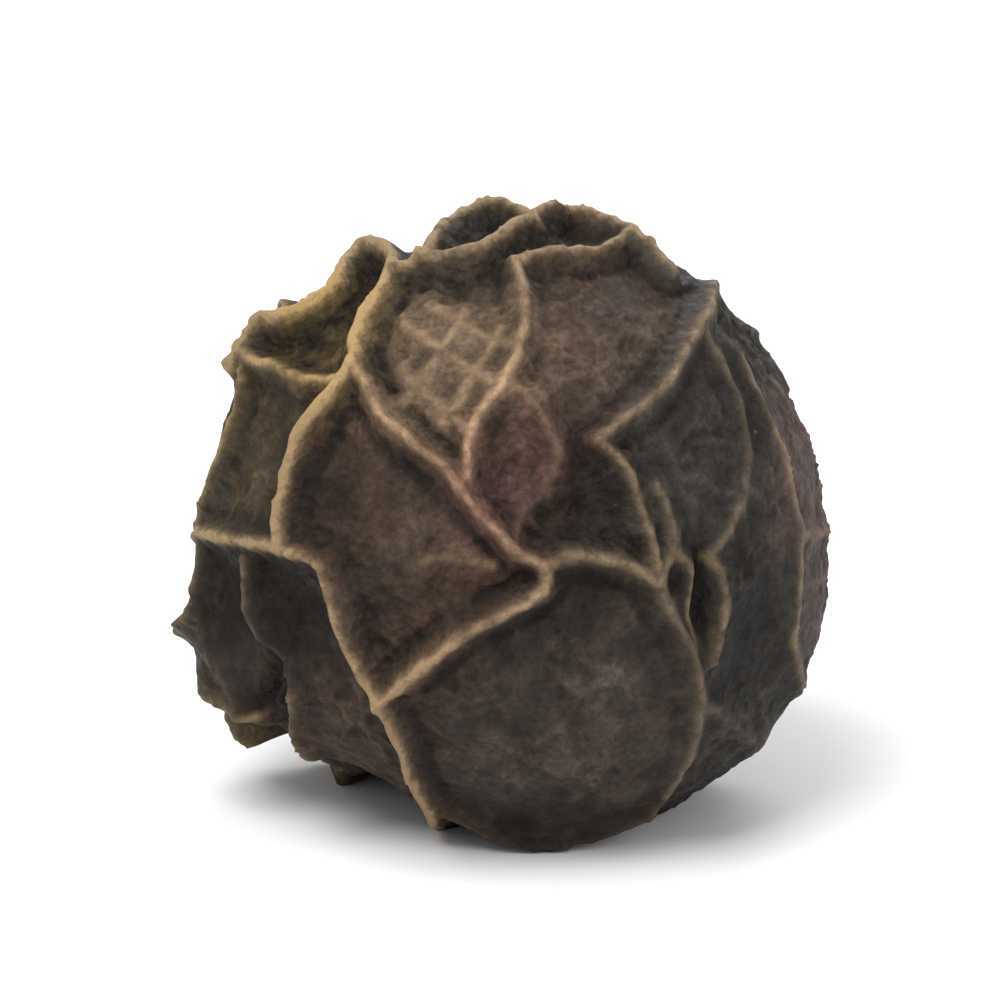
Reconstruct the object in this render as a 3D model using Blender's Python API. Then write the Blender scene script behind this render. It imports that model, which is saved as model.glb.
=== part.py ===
"""A black peppercorn: one dried berry whose skin has shrunk into a raised net of folds.

It is a single solid. A fine sphere is given the berry's lopsided form, a fold is raised along
every line of the net, and the skin dips beside each fold. The berry rests on a small flat spot
and on the tips of three knots of the net round it, all pressed to one level. The frame has +Z up,
-Y towards the viewer, and its origin under the middle of the berry, on the surface that it rests
on.
"""

import math
import random

import bmesh
import bpy
import numpy as np
from mathutils import Vector, noise

MM = 0.001

# Driving sizes of the berry, in metres.
WIDTH = 5.0 * MM
DEPTH = 4.9 * MM
HEIGHT = 4.7 * MM
RADIUS = (WIDTH + DEPTH + HEIGHT) / 6

# The folds of the net: a narrow crest on a wider skirt. The skin dips along both sides of a
# fold, the more so the higher the fold, and comes up again slowly away from it. Where folds
# meet, they blend.
FOLD_HEIGHT = 0.19 * MM
CREST_HALF_WIDTH = 0.115 * MM
SKIRT_HALF_WIDTH = 0.24 * MM
CREST_PART = 0.62
FOLD_BLEND = 4
DIP_DEPTH = 0.13 * MM
DIP_START = 0.2 * MM
DIP_REACH = 0.36 * MM
FLOOR_REACH = 0.30 * MM
FLOOR_BLEND = 0.02

# Clefts, where the skin has cracked or tucked under.
CLEFT_DEPTH = 0.20 * MM
CLEFT_HALF_WIDTH = 0.09 * MM

# The form under the net: slow lumps, and sides that have dried flatter than a sphere's. A flat
# is the direction that it faces and its distance from the middle as a share of the radius.
LUMP = 0.05 * MM
LUMP_LENGTH = 1.5 * MM
FLATS = (
    ((-0.45, -0.23, -0.86), 0.905),
    ((-0.95, 0.10, 0.28), 0.945),
    ((-0.62, 0.74, 0.26), 0.93),
    ((0.35, 0.80, -0.49), 0.93),
)
FLAT_CRISPNESS = 20

# Bulges, and dents where the height is below zero: direction, height and half width of each.
BULGES = (
    ((0.90, -0.11, -0.43), 0.18 * MM, 1.2 * MM),
    ((-0.91, -0.11, -0.39), 0.26 * MM, 0.45 * MM),
    ((0.55, 0.22, 0.81), -0.22 * MM, 0.4 * MM),
    ((-0.42, 0.24, 0.87), -0.12 * MM, 0.3 * MM),
)

# The underside is pressed to a plane this far under the berry's middle, and the net fades out
# towards the flat spot that this leaves. Thinning leaves what is pressed a hair out of level, so
# it is pressed again.
REST_UNDER_MIDDLE = 2.15 * MM
PRESSED_AGAIN = 0.004 * MM
CALM_ANGLE = math.radians(20)
CALM_SHARE = 0.85

# The knots of the net that reach down to that plane: the way that each faces, from +X round
# towards +Y, and their lean from straight down.
KNOTS_FACE = (math.radians(-78), math.radians(40), math.radians(158))
KNOT_LEAN = math.radians(34)
KNOT_HALF_WIDTH = 0.34 * MM

# The pip left by the flower, at the end away from the stalk's scar: a bump in a shallow dish.
PIP_DIRECTION = (0.46, 0.55, -0.70)
PIP_HEIGHT = 0.16 * MM
PIP_HALF_WIDTH = 0.15 * MM
PIP_DISH_DEPTH = 0.12 * MM
PIP_DISH_HALF_WIDTH = 0.42 * MM

# The form is worked out on a fine sphere, at MODEL_SCALE times its size, where the Decimate
# modifier's collapses are exact, and is then thinned to this many faces.
ICO_SUBDIVISIONS = 4
EDGE_CUTS = 7
MODEL_SCALE = 1000
THINNED_FACES = 11_400

# The net is laid out as it is seen from the front, a little from above: every place is
# millimetres across and up from the middle of the berry, and one just past the outline lies
# round on the far side.
VIEW_TILT = math.radians(15)
SEEN_HALF_WIDTH = 2.49 * MM
SEEN_HALF_HEIGHT = 2.41 * MM
PATH_STEPS = 4

# Cells between the folds: the place of the cell's middle, its pull on its borders, and how far
# its floor lies below the even form, in millimetres.
SEEN_CELLS = {
    "bottom": (0.55, -1.35, 1.03, -0.03),
    "middle_left": (-1.01, -0.16, 1.0, 0.02),
    "upper_middle": (-0.34, 1.22, 0.985, 0.04),
    "purple": (-0.02, 0.41, 0.945, 0.10),
    "dark": (0.61, 0.20, 0.965, 0.12),
    "upper_right": (0.63, 1.47, 0.985, 0.0),
    "right": (1.59, 0.71, 1.0, 0.0),
    "right_low": (1.79, -0.61, 0.985, 0.05),
    "rim": (2.43, 0.13, 0.99, 0.0),
    "low_right": (1.94, -1.55, 0.985, 0.02),
    "low_left": (-1.48, -1.55, 0.985, 0.05),
    "left_dark": (-1.90, -0.60, 0.985, 0.22),
    "left": (-2.07, 0.47, 0.99, 0.11),
    "loop_valley": (-1.31, 1.42, 0.945, 0.12),
    "top": (-0.27, 2.16, 0.97, 0.15),
    "top_right": (0.50, 2.17, 0.965, 0.13),
    "crown_left": (-1.88, 1.67, 0.985, 0.10),
    "underneath": (-0.14, -2.49, 0.99, 0.12),
    "upper_rim": (1.49, 1.87, 0.99, 0.02),
    "top_left": (-1.18, 2.26, 0.98, 0.12),
}

# Folds of the seen side: their height at both ends, as a share of the common one, and the
# places that they pass through.
SEEN_FOLDS = {
    "long": (1.0, 1.0, ((-1.16, 1.15), (-0.94, 0.81), (-0.67, 0.55), (-0.37, 0.30), (-0.14, 0.03),
                        (0.07, -0.18), (0.24, -0.26))),
    "middle_low": (1.0, 1.0, ((0.24, -0.26), (0.25, -0.43), (0.04, -0.56), (-0.35, -0.75),
                              (-0.67, -0.98), (-0.95, -1.21))),
    "foot": (1.0, 0.6, ((-0.95, -1.21), (-0.85, -1.52), (-0.77, -1.79), (-0.63, -2.13),
                        (-0.52, -2.48))),
    "left_low": (1.1, 1.1, ((-0.95, -1.21), (-1.13, -0.87), (-1.27, -0.52), (-1.34, -0.26),
                            (-1.50, -0.18))),
    "left_level": (1.1, 0.3, ((-1.50, -0.18), (-1.82, -0.12), (-2.13, -0.06), (-2.43, -0.01),
                              (-2.66, 0.03))),
    "left_up": (1.0, 0.9, ((-1.63, -0.14), (-1.64, 0.13), (-1.57, 0.43), (-1.44, 0.74),
                           (-1.29, 1.01), (-1.16, 1.15))),
    "middle_level": (1.0, 0.8, ((0.24, -0.26), (0.51, -0.20), (0.78, -0.24), (1.06, -0.35))),
    "right_low": (0.9, 0.35, ((1.06, -0.35), (1.18, -0.62), (1.34, -0.89), (1.40, -1.25),
                              (1.32, -1.67), (1.05, -2.07))),
    "dark_right": (0.7, 0.5, ((1.06, -0.35), (1.03, -0.10), (0.95, 0.20), (0.84, 0.45),
                              (0.63, 0.61))),
    "blob": (0.8, 0.5, ((1.06, -0.35), (1.18, -0.14), (1.18, 0.13), (1.09, 0.30))),
    "upper_right": (0.9, 0.5, ((0.63, 0.61), (0.86, 0.78), (1.05, 0.93), (1.24, 1.16),
                               (1.43, 1.47), (1.55, 1.77))),
    "right_inner": (0.4, 0.2, ((1.43, 1.47), (1.68, 1.12), (1.83, 0.66), (1.80, 0.28),
                               (1.66, 0.01), (1.51, -0.18))),
    "right_rim": (0.35, 0.3, ((1.78, 1.28), (2.05, 0.78), (2.20, 0.36), (2.26, -0.03),
                              (2.20, -0.49), (2.12, -0.83), (2.16, -1.12))),
    "slit_left": (0.7, 0.2, ((1.18, -0.14), (1.34, -0.33), (1.34, -0.56), (1.39, -0.83))),
    "slit_right": (0.3, 0.7, ((1.51, -0.18), (1.59, -0.45), (1.55, -0.72), (1.47, -0.93))),
    "loop": (0.8, 1.2, ((-1.16, 1.15), (-1.14, 1.35), (-1.04, 1.58), (-0.90, 1.77), (-0.88, 1.95),
                        (-1.06, 2.06), (-1.19, 1.96), (-1.29, 1.74), (-1.44, 1.56),
                        (-1.63, 1.49), (-1.84, 1.47), (-1.99, 1.33), (-2.09, 1.16))),
    "loop_low": (0.8, 0.6, ((-1.99, 1.28), (-1.71, 1.12), (-1.40, 1.05), (-1.16, 1.15))),
    "oval_top": (0.7, 0.8, ((-0.88, 1.87), (-0.67, 1.91), (-0.56, 2.08), (-0.41, 2.24),
                            (-0.18, 2.34), (0.05, 2.31), (0.21, 2.23))),
    "oval_low": (1.1, 0.8, ((-0.67, 1.91), (-0.37, 1.89), (-0.14, 1.98), (0.09, 2.18),
                            (0.28, 2.30), (0.48, 2.33), (0.71, 2.25), (0.90, 2.12), (1.05, 1.99),
                            (1.20, 1.85))),
    "oval_right": (0.8, 0.7, ((0.02, 1.89), (0.25, 1.97), (0.51, 1.99), (0.74, 2.03), (0.90, 2.12))),
    "yellow": (0.65, 0.45, ((0.02, 1.89), (0.11, 1.62), (0.11, 1.35), (0.02, 1.12), (-0.16, 0.91),
                            (-0.31, 0.66), (-0.33, 0.36))),
    "pink": (0.4, 0.25, ((-0.16, 0.91), (0.09, 0.99), (0.23, 0.82), (0.36, 0.55), (0.25, 0.28),
                         (0.11, 0.13), (0.02, -0.12))),
    "left_edge": (0.6, 0.5, ((-1.99, 1.28), (-2.07, 0.97), (-2.20, 0.55), (-2.40, 0.24),
                             (-2.49, -0.03))),
    "pocket": (0.7, 0.2, ((-1.99, -0.22), (-2.00, -0.52), (-1.96, -0.83))),
    "flap": (0.4, 2.0, ((-2.45, -0.05), (-2.39, -0.45), (-2.40, -0.75), (-2.40, -0.98),
                        (-2.28, -1.22), (-2.09, -1.43), (-1.97, -1.56))),
    "flap_root": (0.5, 0.5, ((-1.67, -1.25), (-1.69, -1.48), (-1.59, -1.75))),
    "bottom_low": (0.5, 0.4, ((-0.63, -2.13), (-0.18, -2.23), (0.32, -2.24), (0.74, -2.17),
                              (1.05, -2.07))),
    "crease": (0.1, 0.25, ((-0.75, -0.29), (-0.44, -0.20), (-0.14, -0.26))),
    "crown_over": (0.8, 0.3, ((-1.63, 1.49), (-1.80, 1.72), (-1.95, 1.97))),
    "oval_over": (0.7, 0.3, ((-0.18, 2.34), (-0.22, 2.62))),
    "upper_over": (0.4, 0.3, ((1.55, 1.77), (1.66, 1.95), (1.72, 2.10))),
    "rim_over": (0.2, 0.1, ((2.26, -0.03), (2.45, -0.02), (2.66, 0.06))),
    "low_right_over": (0.3, 0.15, ((1.40, -1.25), (1.72, -1.42), (2.02, -1.78))),
}

# Clefts of the seen side, as the folds: their depth at both ends as a share of the common one.
SEEN_CLEFTS = {
    "slit": (0.9, 0.5, ((1.46, -0.22), (1.42, -0.45), (1.45, -0.76))),
    "behind_flap": (0.5, 1.0, ((-2.02, -0.80), (-1.94, -1.10), (-1.96, -1.40))),
    "notch": (1.0, 1.5, ((-1.84, -1.22), (-1.79, -1.42), (-1.84, -1.62))),
}

# The cells of the hidden side are scattered by a seeded draw, no nearer than this to each other
# or to the middle of the underside. The folds between them meander.
HIDDEN_SEED = 11
HIDDEN_TRIES = 4000
HIDDEN_APART = math.radians(27)
UNDERSIDE_APART = math.radians(58)
HIDDEN_BEHIND = 0.05
HIDDEN_FLOOR = (0.0 * MM, 0.10 * MM)
HIDDEN_PULL = (0.945, 0.985)
HIDDEN_SHARE = (0.5, 1.3)
MEANDER = 0.2 * MM
MEANDER_LENGTH = 0.8 * MM

# The seed of the noise that bends the lines of the net. Unless one is set, Blender takes it from
# the clock, and every run would bend them in another way.
NOISE_SEED = 1796054081

# Folds between hidden cells are lower near the outline, and reach their full height behind it.
# Spurs are short folds that run from a hidden cell's border into the cell and die away.
OUTLINE_SHARE = 0.2
FULL_BEHIND = 0.5
SPUR_STARTS = 0.75
SPUR_ENDS = 0.15
SPUR_BEND = 0.12
SPUR_SHARE = (0.5, 1.0)

# Every fold also wavers a little.
WAVER = 0.035 * MM
WAVER_LENGTH = 0.5 * MM

# The dried skin, as seen on the berry's flanks.
SKIN_COLOUR = (0.085, 0.058, 0.040, 1.0)
SKIN_ROUGHNESS = 0.62


def normalised(points):
    """The same directions at length 1."""
    return points / np.linalg.norm(points, axis=-1, keepdims=True)


def seen_direction(across, up):
    """The direction, from the berry's middle, of a place given in millimetres as seen."""
    flat = np.array((across * MM / SEEN_HALF_WIDTH, up * MM / SEEN_HALF_HEIGHT))
    reach = np.linalg.norm(flat)
    side = 1.0
    if reach > 1:
        flat *= (2 - reach) / reach
        side = -1.0
    towards = side * math.sqrt(max(0.0, 1 - flat @ flat))
    return np.array((
        flat[0],
        flat[1] * math.sin(VIEW_TILT) - towards * math.cos(VIEW_TILT),
        flat[1] * math.cos(VIEW_TILT) + towards * math.sin(VIEW_TILT),
    ))


def smooth_path(places):
    """Directions along a smooth curve through the places, with PATH_STEPS to each leg."""
    knots = np.array([places[0], *places, places[-1]])
    path = []
    for before, start, end, after in zip(knots, knots[1:], knots[2:], knots[3:]):
        for step in range(PATH_STEPS):
            t = step / PATH_STEPS
            place = 0.5 * (2 * start + (end - before) * t
                           + (2 * before - 5 * start + 4 * end - after) * t ** 2
                           + (3 * start - before - 3 * end + after) * t ** 3)
            path.append(seen_direction(*place))
    path.append(seen_direction(*places[-1]))
    return np.array(path)


def nearest_on_path(directions, path):
    """(distance from each direction to the path, how far along it the nearest point lies)."""
    distance = np.full(len(directions), np.inf)
    along = np.zeros(len(directions))
    legs = len(path) - 1
    for leg in range(legs):
        run = path[leg + 1] - path[leg]
        share = np.clip((directions - path[leg]) @ run / (run @ run), 0, 1)
        point = path[leg] + share[:, None] * run
        gap = np.linalg.norm(directions - point, axis=1)
        nearer = gap < distance
        distance[nearer] = gap[nearer]
        along[nearer] = (leg + share[nearer]) / legs
    return distance * RADIUS, along


def hidden_cells(taken):
    """Directions scattered over the side that isn't seen, clear of each other and of the taken ones."""
    draw = random.Random(HIDDEN_SEED)
    towards_viewer = seen_direction(0, 0)
    found = []
    for _ in range(HIDDEN_TRIES):
        place = normalised(np.array([draw.gauss(0, 1) for _ in range(3)]))
        clear = min(math.acos(np.clip(place @ other, -1, 1)) for other in [*taken, *found])
        off_underside = -place[2] < math.cos(UNDERSIDE_APART)
        if place @ towards_viewer < HIDDEN_BEHIND and clear > HIDDEN_APART and off_underside:
            found.append(place)
    return found


def cell_net():
    """(hidden cells, all cells scaled by their pulls, their floors, fold share between each two).

    Two cells of the seen side share no border fold here, because those folds are laid by hand.
    """
    seen = [seen_direction(across, up) for across, up, _, _ in SEEN_CELLS.values()]
    hidden = hidden_cells(seen)
    draw = random.Random(HIDDEN_SEED + 1)
    pulls = [pull for _, _, pull, _ in SEEN_CELLS.values()]
    pulls += [draw.uniform(*HIDDEN_PULL) for _ in hidden]
    floors = [floor * MM for _, _, _, floor in SEEN_CELLS.values()]
    floors += [draw.uniform(*HIDDEN_FLOOR) for _ in hidden]
    shares = np.zeros((len(pulls), len(pulls)))
    for i in range(len(seen), len(pulls)):
        for j in range(i):
            shares[i, j] = shares[j, i] = draw.uniform(*HIDDEN_SHARE)
    centres = np.array([*seen, *hidden]) * np.array(pulls)[:, None]
    return hidden, centres, np.array(floors), shares


def spurs(cells):
    """One spur in each hidden cell: its share at the border and the directions that it passes."""
    draw = random.Random(HIDDEN_SEED + 2)
    laid = []
    for cell in cells:
        reach = min(np.linalg.norm(cell - other) for other in cells if other is not cell) / 2
        outward = normalised(np.cross(cell, [draw.gauss(0, 1) for _ in range(3)]))
        sideways = np.cross(cell, outward) * draw.uniform(-SPUR_BEND, SPUR_BEND)
        steps = np.linspace(SPUR_STARTS, SPUR_ENDS, PATH_STEPS + 1)[:, None]
        path = cell + 2 * reach * steps * outward + 4 * sideways * steps * (1 - steps)
        laid.append((draw.uniform(*SPUR_SHARE), normalised(path)))
    return laid


def shifted(directions, amount, length):
    """Directions shifted by a smooth noise, which bends every line laid out in them."""
    scale = RADIUS / length
    shift = np.array([noise.noise_vector(Vector(d * scale)) for d in directions])
    return normalised(directions + shift * (amount / RADIUS))


def fold_field(directions):
    """(height of the folds, distance to the nearest one, how far they draw the skin down, floor).

    The height and the draw are shares of the common height and depth, the other two are metres.
    """
    hidden, centres, floors, shares = cell_net()
    directions = shifted(directions, WAVER, WAVER_LENGTH)
    pulls = shifted(directions, MEANDER, MEANDER_LENGTH) @ centres.T
    own = pulls.argmax(axis=1)
    top = pulls.max(axis=1)
    apart = np.linalg.norm(centres[:, None] - centres[None], axis=-1)
    np.fill_diagonal(apart, 1.0)
    gaps = (top[:, None] - pulls) / apart[own] * RADIUS
    gaps[shares[own] == 0] = np.inf
    other = gaps.argmin(axis=1)
    distance = gaps.min(axis=1)
    behind = np.clip(-(directions @ seen_direction(0, 0)) / FULL_BEHIND, 0, 1)
    share = shares[own, other] * (OUTLINE_SHARE + (1 - OUTLINE_SHARE) * behind)
    raised = (share * fold_section(distance)) ** FOLD_BLEND
    drawn = np.minimum(share, 1) * np.exp(-distance / DIP_REACH)
    nearness = np.exp((pulls - top[:, None]) / FLOOR_BLEND)
    floor = nearness @ floors / nearness.sum(axis=1)
    lines = [(start, end, smooth_path(places)) for start, end, places in SEEN_FOLDS.values()]
    lines += [(start, 0.0, path) for start, path in spurs(hidden)]
    for start, end, path in lines:
        gap, along = nearest_on_path(directions, path)
        share = start + (end - start) * along
        raised += (share * fold_section(gap)) ** FOLD_BLEND
        drawn = np.maximum(drawn, np.minimum(share, 1) * np.exp(-gap / DIP_REACH))
        distance = np.minimum(distance, gap)
    return raised ** (1 / FOLD_BLEND), distance, drawn, floor


def fold_section(distance):
    """A fold's cross-section, from 1 on its crest to 0 away from it."""
    crest = np.exp(-((distance / CREST_HALF_WIDTH) ** 2))
    skirt = np.exp(-((distance / SKIRT_HALF_WIDTH) ** 2))
    return CREST_PART * crest + (1 - CREST_PART) * skirt


def bump(directions, centre, half_width):
    """A smooth round bump of height 1 about one direction."""
    distance = np.linalg.norm(directions - normalised(np.array(centre)), axis=1) * RADIUS
    return np.exp(-((distance / half_width) ** 2))


def relief(directions):
    """How far the skin stands out from, or sinks under, the even form in each direction."""
    raised, distance, drawn, floor = fold_field(directions)
    dip = DIP_DEPTH * (1 - np.exp(-((distance / DIP_START) ** 2))) * drawn
    sunk = floor * (1 - np.exp(-((distance / FLOOR_REACH) ** 2)))
    height = FOLD_HEIGHT * raised - dip - sunk
    for start, end, places in SEEN_CLEFTS.values():
        gap, along = nearest_on_path(directions, smooth_path(places))
        share = start + (end - start) * along
        height -= CLEFT_DEPTH * share * np.exp(-((gap / CLEFT_HALF_WIDTH) ** 2))
    height -= PIP_DISH_DEPTH * bump(directions, PIP_DIRECTION, PIP_DISH_HALF_WIDTH)
    height += PIP_HEIGHT * bump(directions, PIP_DIRECTION, PIP_HALF_WIDTH)
    below = np.arccos(np.clip(-directions[:, 2], -1, 1))
    return height * (1 - CALM_SHARE * np.exp(-((below / CALM_ANGLE) ** 2)))


def even_form(directions):
    """The berry's radius without its net: a lumpy sphere with flat sides, bulges and dents."""
    scale = RADIUS / LUMP_LENGTH
    lumps = np.array([noise.noise(Vector(d * scale)) for d in directions])
    tightness = np.ones(len(directions))
    for facing, share in FLATS:
        slope = np.maximum(directions @ normalised(np.array(facing)), 0)
        tightness += (slope / share) ** FLAT_CRISPNESS
    radii = RADIUS * tightness ** (-1 / FLAT_CRISPNESS) + 2 * LUMP * lumps
    for facing, height, half_width in BULGES:
        radii += height * bump(directions, facing, half_width)
    return radii


def with_knots(directions, radii):
    """The radii with each knot raised just far enough to reach the plane that the berry rests on."""
    for facing in KNOTS_FACE:
        knot = np.array((
            math.sin(KNOT_LEAN) * math.cos(facing),
            math.sin(KNOT_LEAN) * math.sin(facing),
            -math.cos(KNOT_LEAN),
        ))
        there = radii[(directions @ knot).argmax()]
        missing = REST_UNDER_MIDDLE / math.cos(KNOT_LEAN) - there
        radii = radii + missing * bump(directions, knot, KNOT_HALF_WIDTH)
    return radii


def pressed_and_fitted(points, plane):
    """The points pressed up to a level plane, then fitted to the berry's width, depth and height."""
    points[:, 2] = np.maximum(points[:, 2], plane)
    low, high = points.min(axis=0), points.max(axis=0)
    points = (points - (low + high) / 2) / (high - low) * (WIDTH, DEPTH, HEIGHT)
    points[:, 2] += HEIGHT / 2
    points[np.abs(points[:, 2]) < 1e-9, 2] = 0.0
    return points


def fine_form():
    """The berry's mesh on the fine sphere, MODEL_SCALE times its size."""
    sphere = bmesh.new()
    bmesh.ops.create_icosphere(sphere, subdivisions=ICO_SUBDIVISIONS, radius=1.0)
    bmesh.ops.subdivide_edges(sphere, edges=sphere.edges[:], cuts=EDGE_CUTS, use_grid_fill=True)
    directions = normalised(np.array([vertex.co[:] for vertex in sphere.verts]))
    radii = with_knots(directions, even_form(directions) + relief(directions))
    places = pressed_and_fitted(directions * radii[:, None], -REST_UNDER_MIDDLE) * MODEL_SCALE
    for vertex, place in zip(sphere.verts, places):
        vertex.co = place
    mesh = bpy.data.meshes.new("fine_form")
    sphere.to_mesh(mesh)
    sphere.free()
    return mesh


def thinned(mesh):
    """The same form on THINNED_FACES faces, small on the folds and large on the floors."""
    form = bpy.data.objects.new("fine_form", mesh)
    bpy.context.scene.collection.objects.link(form)
    form.modifiers.new("thinning", "DECIMATE").ratio = THINNED_FACES / len(mesh.polygons)
    evaluated = form.evaluated_get(bpy.context.evaluated_depsgraph_get())
    thin = bpy.data.meshes.new_from_object(evaluated)
    bpy.data.objects.remove(form)
    bpy.data.meshes.remove(mesh)
    return thin


def skin_material():
    """The dried skin: near black, brown and matt."""
    material = bpy.data.materials.new("dried_pepper_skin")
    material.use_nodes = True
    shader = material.node_tree.nodes["Principled BSDF"]
    shader.inputs["Base Color"].default_value = SKIN_COLOUR
    shader.inputs["Roughness"].default_value = SKIN_ROUGHNESS
    shader.inputs["Metallic"].default_value = 0.0
    return material


def peppercorn():
    """The whole berry as one closed mesh object."""
    mesh = thinned(fine_form())
    mesh.name = "peppercorn"
    points = np.array([vertex.co[:] for vertex in mesh.vertices]) / MODEL_SCALE
    plane = points[:, 2].min() + PRESSED_AGAIN
    for vertex, place in zip(mesh.vertices, pressed_and_fitted(points, plane)):
        vertex.co = place
    mesh.shade_smooth()
    mesh.materials.append(skin_material())
    return bpy.data.objects.new("peppercorn", mesh)


def main():
    noise.seed_set(NOISE_SEED)
    for obj in list(bpy.data.objects):
        bpy.data.objects.remove(obj)
    collection = bpy.data.collections.new("black_peppercorn")
    bpy.context.scene.collection.children.link(collection)
    collection.objects.link(peppercorn())


main()
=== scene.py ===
# %% [markdown]
# # A black peppercorn, seen close
#
# A black peppercorn is a whole berry of the pepper vine, picked green and dried in the sun until
# its skin turns nearly black. The seed inside keeps its size while the pulp around it shrinks, so
# the skin has too much room and lies down in a net of raised folds. Those folds, their paler
# crests, where handling has rubbed them bare, and the dark hollows between them are the look.
#
# The model of the berry comes in ready made, as a coarse solid of the right size. This script
# puts a much finer skin in its place, gives it a material, and sets up a small studio round it.

# %% Load the berry's solid
import math
import random

import bmesh
import bpy
import numpy as np
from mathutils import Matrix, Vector, noise


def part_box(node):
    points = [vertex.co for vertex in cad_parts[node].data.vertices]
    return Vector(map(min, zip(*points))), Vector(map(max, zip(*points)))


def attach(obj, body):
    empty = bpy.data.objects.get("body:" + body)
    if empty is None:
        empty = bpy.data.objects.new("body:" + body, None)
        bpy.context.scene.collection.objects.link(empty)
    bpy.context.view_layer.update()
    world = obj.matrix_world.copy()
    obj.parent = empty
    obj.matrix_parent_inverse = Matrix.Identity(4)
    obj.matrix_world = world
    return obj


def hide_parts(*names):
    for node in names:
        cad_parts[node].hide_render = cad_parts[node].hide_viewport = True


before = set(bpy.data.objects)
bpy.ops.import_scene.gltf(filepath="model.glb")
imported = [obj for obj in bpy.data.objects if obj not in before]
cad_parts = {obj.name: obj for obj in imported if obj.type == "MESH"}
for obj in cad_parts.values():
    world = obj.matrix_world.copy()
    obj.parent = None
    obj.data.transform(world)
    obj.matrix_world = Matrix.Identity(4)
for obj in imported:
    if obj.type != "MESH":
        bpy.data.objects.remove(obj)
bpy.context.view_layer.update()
low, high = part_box("peppercorn")
size = np.array(high - low)
middle = (low + high) / 2
MM = 0.001
print("the solid measures", (size / MM).round(2), "mm")

# %% [markdown]
# ## The camera
#
# The corn is looked at from the front and a little above. A picture of something this small is
# taken from a long way off for its size, so the lens is a long one: near things and far things
# then look almost equally large, and the outline is the true one. A wide lens close by would
# swell the front of the berry.

# %% Place the camera
VIEW_TILT = math.radians(15)
LENS = 200
SHARE_OF_PICTURE = 0.66

camera_data = bpy.data.cameras.new("long_lens")
camera_data.lens = LENS
camera_data.clip_start = 1 * MM
camera_data.clip_end = 1.0
camera = bpy.data.objects.new("camera", camera_data)
towards_viewer = Vector((0, -math.cos(VIEW_TILT), math.sin(VIEW_TILT)))
distance_away = size[0] / SHARE_OF_PICTURE * LENS / camera_data.sensor_width
camera.location = middle + towards_viewer * distance_away
camera.rotation_euler = towards_viewer.to_track_quat("Z", "Y").to_euler()
bpy.context.scene.collection.objects.link(camera)
bpy.context.scene.camera = camera
bpy.context.scene.view_settings.view_transform = "Standard"
print("the camera stands", round(distance_away / MM), "mm away")

# %% [markdown]
# ## The floor and the light
#
# The corn lies on one flat sheet of white paper, so wide for a thing of this size that its far
# edge melts into the white of the room. A photographer would let the paper curl up behind, which
# is only worth the trouble where the room isn't white.
#
# The light is soft and comes mostly from above and in front of the left shoulder, with a weaker
# one from the right and one from behind, for the upper edge. Soft light means large lamps for the
# size of the thing: these are several times as wide as the berry. The white world fills in the
# shadows as pale walls would, and the paper is lit until it is pure white, which is what makes
# the berry look so dark on it.

# %% Lay the floor
FLOOR_HALF = 300 * MM
PAPER_WHITE = (0.86, 0.86, 0.86, 1)
PAPER_ROUGHNESS = 0.9

floor_shape = bmesh.new()
bmesh.ops.create_grid(floor_shape, x_segments=2, y_segments=2, size=FLOOR_HALF)
floor_mesh = bpy.data.meshes.new("floor")
floor_shape.to_mesh(floor_mesh)
floor_shape.free()
floor = bpy.data.objects.new("floor", floor_mesh)
paper = bpy.data.materials.new("matt_white_paper")
paper.use_nodes = True
paper.node_tree.nodes["Principled BSDF"].inputs["Base Color"].default_value = PAPER_WHITE
paper.node_tree.nodes["Principled BSDF"].inputs["Roughness"].default_value = PAPER_ROUGHNESS
floor_mesh.materials.append(paper)
bpy.context.scene.collection.objects.link(floor)
print("the paper is", round(2 * FLOOR_HALF / MM), "mm wide")

# %% Hang the lamps
WORLD_STRENGTH = 0.64
WHITE = (1, 1, 1, 1)

# Each lamp: its place and its width in millimetres, and its power in watts.
LAMPS = {
    "key": ((-20, -24, 55), 40, 0.040),
    "fill": ((45, -30, 25), 30, 0.007),
    "back": ((10, 45, 40), 25, 0.014),
}

world = bpy.data.worlds.new("white_room")
world.use_nodes = True
world.node_tree.nodes["Background"].inputs["Color"].default_value = WHITE
world.node_tree.nodes["Background"].inputs["Strength"].default_value = WORLD_STRENGTH
bpy.context.scene.world = world


def hang(name, place, width, watts):
    """Hangs a square soft lamp, turned towards the berry."""
    data = bpy.data.lights.new(name, "AREA")
    data.size = width * MM
    data.energy = watts
    holder = bpy.data.objects.new(name, data)
    holder.location = Vector(place) * MM
    holder.rotation_euler = (holder.location - middle).to_track_quat("Z", "Y").to_euler()
    bpy.context.scene.collection.objects.link(holder)


for name, (place, width, watts) in LAMPS.items():
    hang(name, place, width, watts)
print(len(LAMPS), "lamps hang round the berry")

# %% [markdown]
# ## Where things are on the berry
#
# Everything on the skin is laid out by its direction from the berry's middle. The net of folds is
# written down as it is seen from the front: each place is so many millimetres across and up from
# the middle of the berry. A place just past the outline lies round on the far side.
#
# This could be painted on a flat image and wrapped round, but a ball can't be unwrapped without
# seams. Directions have none.

# %% Directions on the berry
RADIUS = size.mean() / 2
SEEN_HALF_WIDTH = 2.49 * MM
SEEN_HALF_HEIGHT = 2.41 * MM


def normalised(points):
    """The same directions at length 1."""
    return points / np.linalg.norm(points, axis=-1, keepdims=True)


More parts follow.
